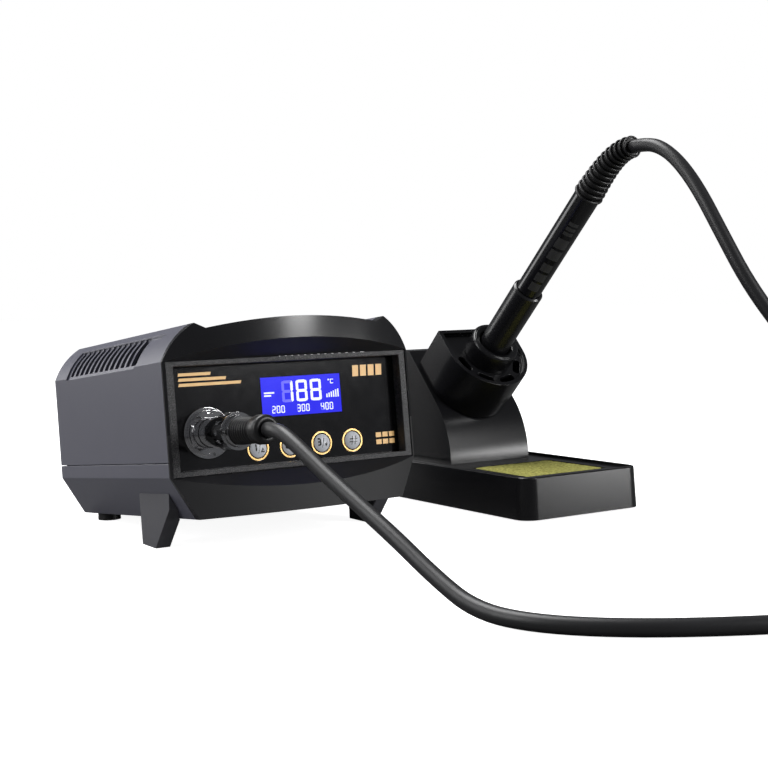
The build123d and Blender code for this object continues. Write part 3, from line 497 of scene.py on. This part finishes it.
# The gold print also glows faintly. This is a painted highlight, since ink gives no light of its own.
gold_print_painted_glow = Finish("gold_print_painted_glow", roughness=0.38, emission_color=(0.8, 0.5, 0.2, 1), emission_strength=0.3)
gold_print_painted_glow.tint((0.78, 0.46, 0.17), (0.86, 0.55, 0.24), gold_print_painted_glow.noise(2 * MM))
emblem = [bar(8, 38.0 + row * 2.2, 29 - row * 7, 1.3, 0.4) for row in range(3)]
emblem += [bar(93 + step * 4.1, 38.0, 3.1, 5.0, 0.3) for step in range(4)]
emblem += [bar(103 + step * 3.5, 6.4 + row * 3.2, 2.8, 2.2) for step in range(3) for row in range(2)]
panel_print = flat_shapes("panel_print", emblem, PANEL_FACE - 0.04 * MM, gold_print_painted_glow)


# ---------------------------------------------------------------- display
# A backlit liquid crystal display behind a window: three large digits over a row of presets.
# Segments that are off still show as faint ghosts.
LCD_LEFT, LCD_LOW = 46.6, 22.6
backlight = Finish("backlight_blue", roughness=0.12, emission_strength=1.0)
haze = backlight.noise(14 * MM)
backlight.tint((0.002, 0.002, 0.05), (0.004, 0.004, 0.08), haze)
backlight.feed("Emission Color", backlight.between((0.02, 0.02, 0.8), (0.04, 0.04, 0.95), haze))
dress(backlight, "lcd_window")

SEGMENTS = {"0": "abcdef", "1": "bc", "2": "abdeg", "3": "abcdg", "4": "bcfg", "8": "abcdefg"}


def digit(x, z, width, height, weight):
    """The seven segments of one digit as outlines, each with pointed ends."""
    half = weight / 2
    middle = height / 2

    def level(low):
        return [(x + half, low + half), (x + weight, low), (x + width - weight, low),
                (x + width - half, low + half), (x + width - weight, low + weight),
                (x + weight, low + weight)]

    def upright(left, low):
        return [(left + half, low), (left + weight, low + half), (left + weight, low + middle - half),
                (left + half, low + middle), (left, low + middle - half), (left, low + half)]

    return {"a": level(z + height - weight), "g": level(z + middle - half), "d": level(z),
            "f": upright(x, z + middle - 0.1), "b": upright(x + width - weight, z + middle - 0.1),
            "e": upright(x, z + 0.1), "c": upright(x + width - weight, z + 0.1)}


lit, ghost = [], []
readings = [("188", LCD_LEFT + 10.0, LCD_LOW + 5.8, 5.6, 9.6, 1.25, 7.1),
            ("200", LCD_LEFT + 4.6, LCD_LOW + 1.3, 1.75, 3.3, 0.42, 2.25),
            ("300", LCD_LEFT + 17.0, LCD_LOW + 1.3, 1.75, 3.3, 0.42, 2.25),
            ("400", LCD_LEFT + 29.0, LCD_LOW + 1.3, 1.75, 3.3, 0.42, 2.25)]
for text, left, low, width, height, weight, pitch in readings:
    for number, figure in enumerate(text):
        for key, outline in digit(left + number * pitch, low, width, height, weight).items():
            (lit if key in SEGMENTS[figure] else ghost).append(outline)
lit += [bar(LCD_LEFT + 32.2 + step * 1.15, LCD_LOW + 6.8, 0.62, 1.6 + step * 0.4) for step in range(6)]
lit += [bar(LCD_LEFT + 1.2, LCD_LOW + 10.0, 5.0, 0.7), bar(LCD_LEFT + 1.2, LCD_LOW + 8.8, 3.4, 0.7)]
lit += [bar(LCD_LEFT + 34.6, LCD_LOW + 14.6, 1.6, 0.35), bar(LCD_LEFT + 34.6, LCD_LOW + 12.9, 1.6, 0.35),
        bar(LCD_LEFT + 34.6, LCD_LOW + 12.9, 0.35, 2.0), bar(LCD_LEFT + 33.4, LCD_LOW + 14.3, 0.7, 0.7)]
lit_ink = Finish("lit_segment", roughness=0.5, emission_strength=1.0)
lit_ink.tint((0.5, 0.5, 0.6), (0.6, 0.6, 0.7), lit_ink.noise(1 * MM))
lit_glow = lit_ink.between((0.5, 0.55, 1), (0.85, 0.9, 1), lit_ink.noise(0.8 * MM))
lit_ink.feed("Emission Color", lit_glow)
ghost_ink = Finish("ghost_segment", roughness=0.5, emission_color=(0.13, 0.13, 1, 1), emission_strength=1.0)
ghost_ink.tint((0.01, 0.01, 0.3), (0.02, 0.02, 0.4), ghost_ink.noise(1 * MM))
for name, shapes, ink in (("lcd_lit", lit, lit_ink), ("lcd_ghosts", ghost, ghost_ink)):
    flat_shapes(name, shapes, PANEL_FACE - 0.03 * MM, ink)


# ---------------------------------------------------------------- push buttons
# Satin metal domes in gold rings, each with a short legend printed on its crown.
BUTTON_X, BUTTON_Z = 43.0, 9.3
BUTTON_PITCH = 15.8
LEGEND_PROUD = 0.05 * MM


def metal(name, colour, roughness, grain=0.4 * MM, stretch=(1, 1, 1)):
    """Bare or plated metal with fine scratches along one direction."""
    made = Finish(name, metallic=1.0)
    fine = made.noise(grain, 4, stretch)
    made.tint(shade(colour, 0.88), shade(colour, 1.12), made.noise(6 * MM))
    made.feed("Roughness", roughness - 0.05 + fine * 0.12)
    made.bump(fine, 0.004 * MM)
    return made


button_metal = moulded("button_silver", (0.72, 0.74, 0.78), 0.3)
gold_ring = metal("gold_ring", (0.86, 0.55, 0.22), 0.3)
dress(gold_ring, "button_rings")
legend_ink = moulded("legend_ink", (0.01, 0.01, 0.01), 0.5)
triangle_up = [(0.5, -1.7), (2.7, -1.7), (1.6, 0.4)]
triangle_down = [(0.5, 0.4), (1.6, -1.7), (2.7, 0.4)]
slash = [(-0.7, -2.0), (-0.3, -2.0), (0.7, 2.1), (0.3, 2.1)]
star = [(1.6 + (1.1 if k % 2 == 0 else 0.45) * cos(k * pi / 5),
         -0.7 + (1.1 if k % 2 == 0 else 0.45) * sin(k * pi / 5)) for k in range(10)]


def figure(key, x, z):
    """A small figure made of its segments."""
    segments = digit(x, z, 1.8, 3.4, 0.62)
    return [outline for part, outline in segments.items() if part in SEGMENTS[key]]


hatch = [bar(-1.3, -1.9, 0.45, 3.8, 0.6), bar(0.25, -1.9, 0.45, 3.8, 0.6),
         bar(-1.9, 0.4, 3.9, 0.45), bar(-2.1, -0.9, 3.9, 0.45)]
legends = [figure("1", -3.0, -1.2) + [slash, triangle_up], figure("2", -2.8, -1.2) + [slash, triangle_down],
           figure("3", -2.8, -1.2) + [slash, star], hatch]
for number, shapes in enumerate(legends, start=1):
    dress(button_metal, f"button_{number}")
    legend = flat_shapes(f"button_{number}_legend", shapes, 0, legend_ink, Matrix(), 0.04 * MM)
    build = bmesh.new()
    build.from_mesh(legend.data)
    bmesh.ops.triangulate(build, faces=build.faces)
    bmesh.ops.subdivide_edges(build, edges=build.edges, cuts=3)
    across = (BUTTON_X + BUTTON_PITCH * (number - 1)) * MM
    spot = unit_place @ Matrix.Translation((across, 0, BUTTON_Z * MM))
    dome = bmesh.new()
    dome.from_mesh(nodes[f"button_{number}"].data)
    dome.transform(spot.inverted())
    surface = BVHTree.FromBMesh(dome)
    dome.free()
    for vert in build.verts:
        hit = surface.ray_cast(Vector((vert.co.x, -20 * MM, vert.co.z)), Vector((0, 1, 0)))[0]
        vert.co.y += hit.y - LEGEND_PROUD
    build.transform(spot)
    build.to_mesh(legend.data)
    build.free()
    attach(legend, f"button_{number}")


# ---------------------------------------------------------------- connector
# Nickel plated round connector.  Its flange and nut stay on the panel, and the plug carries a
# knurled locking ring, a cord clamp and a ribbed rubber boot.
PLUG_X, PLUG_Z = 19.4, 17.8
chrome = Finish("polished_nickel", metallic=1.0)
smear = chrome.noise(5 * MM)
chrome.tint((0.52, 0.52, 0.53), (0.62, 0.62, 0.63), smear)
chrome.feed("Roughness", 0.05 + smear * 0.06)
dress(chrome, "socket_body", "socket_nut", "plug_shell", "plug_ring", "plug_clamp")
soften(0.25 * MM, "socket_body", "socket_nut", "plug_ring", "plug_shell")
insulator = moulded("insulator_black", (0.02, 0.02, 0.02), 0.45)
dress(insulator, "socket_insert", "lcd_module", "switch_body", "mains_gland")


class Grower:
    """A Geometry Nodes tree with named inputs, and the modifier that runs it."""

    def __init__(self, name):
        self.tree = bpy.data.node_groups.new(name, "GeometryNodeTree")
        self.tree.interface.new_socket("Geometry", in_out="INPUT", socket_type="NodeSocketGeometry")
        self.tree.interface.new_socket("Geometry", in_out="OUTPUT", socket_type="NodeSocketGeometry")
        self.start = self.tree.nodes.new("NodeGroupInput")
        self.end = self.tree.nodes.new("NodeGroupOutput")

    def size(self, name, kind="Float"):
        """A named input of the tree."""
        self.tree.interface.new_socket(name, in_out="INPUT", socket_type="NodeSocket" + kind)
        return self.start.outputs[name]

    def node(self, kind, settings=(), values=(), output=0):
        """Add a node, set its settings first and then its inputs, and give one of its outputs."""
        made = self.tree.nodes.new(kind)
        for name, value in dict(settings).items():
            setattr(made, name, value)
        for name, value in dict(values).items():
            if isinstance(value, bpy.types.NodeSocket):
                self.tree.links.new(value, made.inputs[name])
            else:
                made.inputs[name].default_value = value
        return made.outputs[output]

    def finish(self, geometry, material):
        """Make instances real, smooth them and give them their material, at the tree's end."""
        whole = self.node("GeometryNodeRealizeInstances", values={"Geometry": geometry})
        smooth = self.node("GeometryNodeSetShadeSmooth", values={0: whole})
        painted = self.node("GeometryNodeSetMaterial", values={"Geometry": smooth, "Material": material})
        self.tree.links.new(painted, self.end.inputs[0])

    def run(self, name, source, sizes):
        """The plain mesh that the tree makes of a source object."""
        modifier = source.modifiers.new(name, "NODES")
        modifier.node_group = self.tree
        for socket in self.tree.interface.items_tree:
            if socket.in_out == "INPUT" and socket.name in sizes:
                modifier[socket.identifier] = sizes[socket.name]
        return as_mesh(name, source)


CORE_SHARE = 0.86
boots = Grower("ribbed_boot")
boot_path = boots.start.outputs[0]
rib_count = boots.size("Ribs", "Int")
thick_end = boots.size("Thick end")
thin_end = boots.size("Thin end")
rib_wire = boots.size("Rib wire")
along = boots.node("GeometryNodeSplineParameter", output="Factor")
taper = boots.node("ShaderNodeMapRange", values={"Value": along, "To Min": thick_end, "To Max": thin_end})
slim = boots.node("ShaderNodeMath", {"operation": "MULTIPLY"}, {0: taper, 1: CORE_SHARE})
core_line = boots.node("GeometryNodeSetCurveRadius", values={"Curve": boot_path, "Radius": slim})
unit_circle = boots.node("GeometryNodeCurvePrimitiveCircle", values={"Resolution": 28, "Radius": 1.0})
core = boots.node("GeometryNodeCurveToMesh", values={"Curve": core_line, "Profile Curve": unit_circle,
                                                     "Fill Caps": True, "Scale": slim})
rib_line = boots.node("GeometryNodeResampleCurve", values={"Curve": boot_path, "Count": rib_count})
rib_hoop = boots.node("GeometryNodeCurvePrimitiveCircle", values={"Resolution": 28, "Radius": 1.0})
rib_round = boots.node("GeometryNodeCurvePrimitiveCircle", values={"Resolution": 8, "Radius": rib_wire})
rib = boots.node("GeometryNodeCurveToMesh", values={"Curve": rib_hoop, "Profile Curve": rib_round})
tangent = boots.node("GeometryNodeInputTangent")
facing = boots.node("FunctionNodeAlignRotationToVector", {"axis": "Z"}, {"Vector": tangent})
placed = boots.node("GeometryNodeInstanceOnPoints", values={
    "Points": rib_line, "Instance": rib, "Rotation": facing, "Scale": taper})
both = boots.node("GeometryNodeJoinGeometry", values={"Geometry": placed})
boots.tree.links.new(core, both.node.inputs["Geometry"])
soft_rubber = Finish("boot_rubber")
pores = soft_rubber.noise(0.5 * MM, 3)
soft_rubber.tint((0.006, 0.006, 0.006), (0.011, 0.011, 0.012), soft_rubber.noise(9 * MM))
soft_rubber.feed("Roughness", 0.3 + pores * 0.16)
soft_rubber.bump(pores, 0.015 * MM)
boots.finish(both, soft_rubber.material)


def boot(name, points, ribs, thick, thin, wire):
    """A ribbed boot along points, thickest at the first; each rib's wire is a share of its size."""
    line = bpy.data.curves.new(name + "_line", "CURVE")
    line.dimensions = "3D"
    spline = line.splines.new("POLY")
    spline.points.add(len(points) - 1)
    for spot, point in zip(spline.points, points):
        spot.co = (*point, 1)
    source = bpy.data.objects.new(name + "_line", line)
    bpy.context.scene.collection.objects.link(source)
    mesh = boots.run(name, source, {"Ribs": ribs, "Thick end": thick, "Thin end": thin, "Rib wire": wire})
    return piece(name, mesh)


plug_axis = (unit_place @ Matrix.Translation((PLUG_X * MM, PANEL_FACE, PLUG_Z * MM))
             @ Matrix.Rotation(pi / 2, 4, "X"))
plug_boot_line = [plug_axis @ Vector((0, 0, (34.7 + step * 1.55) * MM)) for step in range(11)]
plug_boot = boot("plug_boot_ribbed", plug_boot_line, 9, 5.1 * MM, 4.6 * MM, 0.13)
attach(plug_boot, "plug")


def lathe(name, outline, place, finish, steps=48):
    """Turn an outline of (radius, height) in millimetres about the local Z axis.

    A radius of 0 makes one point, and the faces round it are triangles.
    """
    build = bmesh.new()
    rings = []
    for radius, height in outline:
        if radius == 0:
            rings.append([build.verts.new((0, 0, height * MM))])
        else:
            spots = [(radius * cos(tau * k / steps), radius * sin(tau * k / steps), height)
                     for k in range(steps)]
            rings.append([build.verts.new(Vector(spot) * MM) for spot in spots])
    for below, above in zip(rings, rings[1:]):
        for k in range(steps):
            corners = [below[k % len(below)], below[(k + 1) % len(below)],
                       above[(k + 1) % len(above)], above[k % len(above)]]
            build.faces.new(list(dict.fromkeys(corners)))
    bmesh.ops.recalc_face_normals(build, faces=build.faces)
    build.transform(place)
    mesh = bpy.data.meshes.new(name)
    build.to_mesh(mesh)
    build.free()
    return piece(name, mesh, finish)


sleeve_outline = [(0, 49.6), (4.9, 49.6), (5.7, 50.2), (5.95, 51.0), (5.95, 55.4), (5.6, 56.4),
                  (4.6, 57.0), (3.1, 57.0), (3.0, 56.2), (0, 56.2)]
plug_sleeve = lathe("plug_boot_sleeve", sleeve_outline, plug_axis, soft_rubber)
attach(plug_sleeve, "plug")
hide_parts("plug_boot")


# ---------------------------------------------------------------- feet
# Two tall swept front legs in the cover's grey, and rubber pads behind and under the stand.
foot_grey = moulded("foot_grey", (0.1, 0.1, 0.112), 0.38)
dress(foot_grey, "left_foot", "right_foot")
soften(1.2 * MM, "left_foot", "right_foot")
dress(soft_rubber, "rear_pads", "stand_feet")


# ---------------------------------------------------------------- rear panel fittings
# A red rocker switch, a brass earth jack, the mains gland, and plain steel fasteners.
rocker_red = moulded("rocker_red", (0.42, 0.02, 0.02), 0.3)
dress(rocker_red, "switch_rocker")
jack_brass = metal("jack_brass", (0.78, 0.58, 0.28), 0.25)
dress(jack_brass, "earth_jack", "board_standoffs")
steel = metal("plain_steel", (0.56, 0.56, 0.58), 0.32, stretch=(1, 1, 8))
dress(steel, "case_screws", "stand_screws", "transformer_bolts", "transformer_bracket", "holder_liner",
      "iron_nut", "iron_barrel", "iron_tip")
soften(0.3 * MM, "switch_rocker", "switch_body", "mains_gland", "earth_jack")


# ---------------------------------------------------------------- inside the unit
# The transformer, the boards and their parts, which only show when the shells are apart.
board_green = Finish("board_green", roughness=0.4)
tracks = (board_green.node("TexWave", {"wave_type": "BANDS"}, {
    "Vector": board_green.place(), "Scale": 160.0, "Distortion": 9.0, "Detail": 2.0}) > 0.7)
board_green.tint((0.01, 0.09, 0.03), (0.03, 0.2, 0.07), tracks)
board_green.feed("Roughness", 0.45 - tracks * 0.15)
dress(board_green, "display_board", "main_board", "terminal_board")
stacked = metal("stacked_steel", (0.3, 0.3, 0.31), 0.45, grain=0.5 * MM, stretch=(0.05, 3, 0.05))
dress(stacked, "transformer_core")
winding = Finish("winding_copper", metallic=0.6)
turns = winding.node("TexWave", {"wave_type": "BANDS", "bands_direction": "Z"}, {
    "Vector": winding.place(), "Scale": 380.0})
winding.tint((0.3, 0.1, 0.04), (0.7, 0.32, 0.13), turns)
winding.feed("Roughness", 0.5 - turns * 0.2)
winding.bump(turns, 0.1 * MM)
dress(winding, "transformer_coil")
dress(moulded("part_bodies", (0.03, 0.03, 0.05), 0.4), "board_parts", "tact_switches")
dress(moulded("white_ceramic", (0.75, 0.73, 0.68), 0.35), "heater", "fuse")
dress(metal("sink_aluminium", (0.6, 0.6, 0.62), 0.4, stretch=(1, 1, 6)), "heat_sink")


# ---------------------------------------------------------------- stand
# A weighted tray and a hollow column in satin black, joined by screws from below, with a round
# cup that holds the iron's collar.  The collar's rolled lip is turned about the iron's own line.
stand_black = Finish("stand_black", specular_ior_level=0.4)
satin = stand_black.noise(0.5 * MM, 3)
stand_black.tint((0.005, 0.005, 0.006), (0.008, 0.008, 0.009), stand_black.noise(40 * MM))
stand_black.feed("Roughness", 0.2 + satin * 0.1)
stand_black.bump(satin, 0.006 * MM)
dress(stand_black, "stand_tray", "stand_column", "holder_cup", "holder_collar")
soften(0.7 * MM, "stand_tray")
soften(0.5 * MM, "stand_column", "holder_cup", "holder_collar")
HOLDER_LEAN = radians(47)
iron_place = (Matrix.Translation((tray_corner.x + 36 * MM, tray_corner.y + 76.3 * MM, 76.4 * MM))
              @ Matrix.Rotation(HOLDER_LEAN, 4, "X") @ Matrix.Translation((0, -1.6 * MM, 0)))
lip_outline = [(8.4, 5.5), (8.4, 8.0), (8.9, 8.7), (10.6, 9.2), (11.3, 9.34), (11.3, 8.0), (10.6, 5.5)]
collar_lip = lathe("collar_lip", lip_outline, iron_place, stand_black)
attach(collar_lip, "root")


# ---------------------------------------------------------------- sponge
# A block of olive cellulose sponge that lies in the tray's well.  It is cut from foam, so its
# edges are a little round and its faces are full of open pores.
SPONGE_ROUND = 1.6 * MM
PORE_DEPTH = 1.6 * MM
sponge_low, sponge_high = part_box("sponge")
half = (sponge_high - sponge_low) / 2
middle = (sponge_high + sponge_low) / 2
build = bmesh.new()
bmesh.ops.create_cube(build, size=2.0)
bmesh.ops.subdivide_edges(build, edges=build.edges, cuts=55, use_grid_fill=True)
for vert in build.verts:
    spot = vert.co * half
    inner = Vector([max(SPONGE_ROUND - side, min(side - SPONGE_ROUND, part))
                    for part, side in zip(spot, half)])
    way = (spot - inner).normalized() if (spot - inner).length > 0 else Vector((0, 0, 0))
    grain = foam.noise(spot * 900) * 0.35 + foam.noise(spot * 2300) * 0.25
    cell = foam.voronoi(spot * 520)[0][0]
    depth = max(0.0, 0.35 - cell) * PORE_DEPTH
    vert.co = middle + inner + way * (SPONGE_ROUND - 0.2 * MM + grain * 0.35 * MM - depth)
sponge_mesh = bpy.data.meshes.new("sponge_foam")
build.to_mesh(sponge_mesh)
build.free()
foam_olive = Finish("foam_olive", specular_ior_level=0.2)
cells = foam_olive.node("TexVoronoi", values={"Vector": foam_olive.place(), "Scale": 900.0})
mottle_and_hollow_shade = foam_olive.noise(1.6 * MM, 4)
# The colour is darker where the bump is lower. This is painted shade in the pores and hollows, laid over a
# real blotchy mottle.
foam_olive.tint((0.06, 0.06, 0.01), (0.5, 0.48, 0.13), (cells * 0.75 + mottle_and_hollow_shade * 1.5 - 0.5).clamped())
foam_olive.feed("Roughness", 0.85 + mottle_and_hollow_shade * 0.1)
foam_olive.bump(cells + mottle_and_hollow_shade, 0.3 * MM)
sponge = piece("sponge_foam", sponge_mesh, foam_olive)
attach(sponge, "sponge")
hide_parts("sponge")


# ---------------------------------------------------------------- iron
# A slim black handle in a rubber grip sleeve, with a ribbed boot that droops under the lead.
# The barrel, the tip and the heater are hidden in the stand until the iron is lifted.
handle_black = Finish("handle_black", specular_ior_level=0.5)
handle_grain = handle_black.noise(0.4 * MM, 3)
handle_black.tint((0.003, 0.003, 0.0035), (0.006, 0.006, 0.007), handle_black.noise(20 * MM))
handle_black.feed("Roughness", 0.16 + handle_grain * 0.08)
handle_black.bump(handle_grain, 0.006 * MM)
dress(handle_black, "iron_handle")
sleeve_rubber = moulded("sleeve_rubber", (0.006, 0.006, 0.007), 0.28, depth=0.01 * MM)
dress(sleeve_rubber, "grip_sleeve")

HANDLE_R = 6.33
MARK_ANGLE = 238.0
engraved = moulded("engraved_grey", (0.045, 0.045, 0.046), 0.6)
marks = bmesh.new()
for low, high, spread in [(52, 57, 24), (58.5, 63.5, 24), (65, 70, 24), (73, 79, 28),
                          (80.5, 86.5, 28), (89, 91, 22), (92, 94, 22), (95, 97, 22)]:
    rows = []
    for height in (low, high):
        angles = [radians(MARK_ANGLE - spread + spread * k / 3) for k in range(7)]
        spots = [(HANDLE_R * cos(angle), HANDLE_R * sin(angle), height) for angle in angles]
        rows.append([marks.verts.new(Vector(spot) * MM) for spot in spots])
    for k in range(6):
        marks.faces.new((rows[0][k], rows[0][k + 1], rows[1][k + 1], rows[1][k]))
marks.transform(iron_place)
mark_mesh = bpy.data.meshes.new("handle_marks")
marks.to_mesh(mark_mesh)
marks.free()
handle_marks = piece("handle_marks", mark_mesh, engraved)
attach(handle_marks, "iron")

BOOT_START = 111.0
BOOT_LENGTH = 36.0
BOOT_DROOP = 40.0
BOOT_STEPS = 24
boot_frame = iron_place @ Matrix.Translation((0, 0, BOOT_START * MM))
boot_points = [boot_frame.translation.copy()]
for step in range(BOOT_STEPS):
    bend = BOOT_DROOP * (((step + 1) / BOOT_STEPS) ** 2.5 - (step / BOOT_STEPS) ** 2.5)
    turn = Matrix.Rotation(radians(bend / 2), 4, "X")
    boot_frame = boot_frame @ turn @ Matrix.Translation((0, 0, BOOT_LENGTH / BOOT_STEPS * MM)) @ turn
    boot_points.append(boot_frame.translation.copy())
iron_boot = boot("iron_boot_ribbed", boot_points, 13, 6.4 * MM, 4.5 * MM, 0.12)
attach(iron_boot, "iron")
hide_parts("iron_boot")


# ---------------------------------------------------------------- sizes, and the end
# The visual model's box is found from every shown piece but the floor.
low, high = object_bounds()
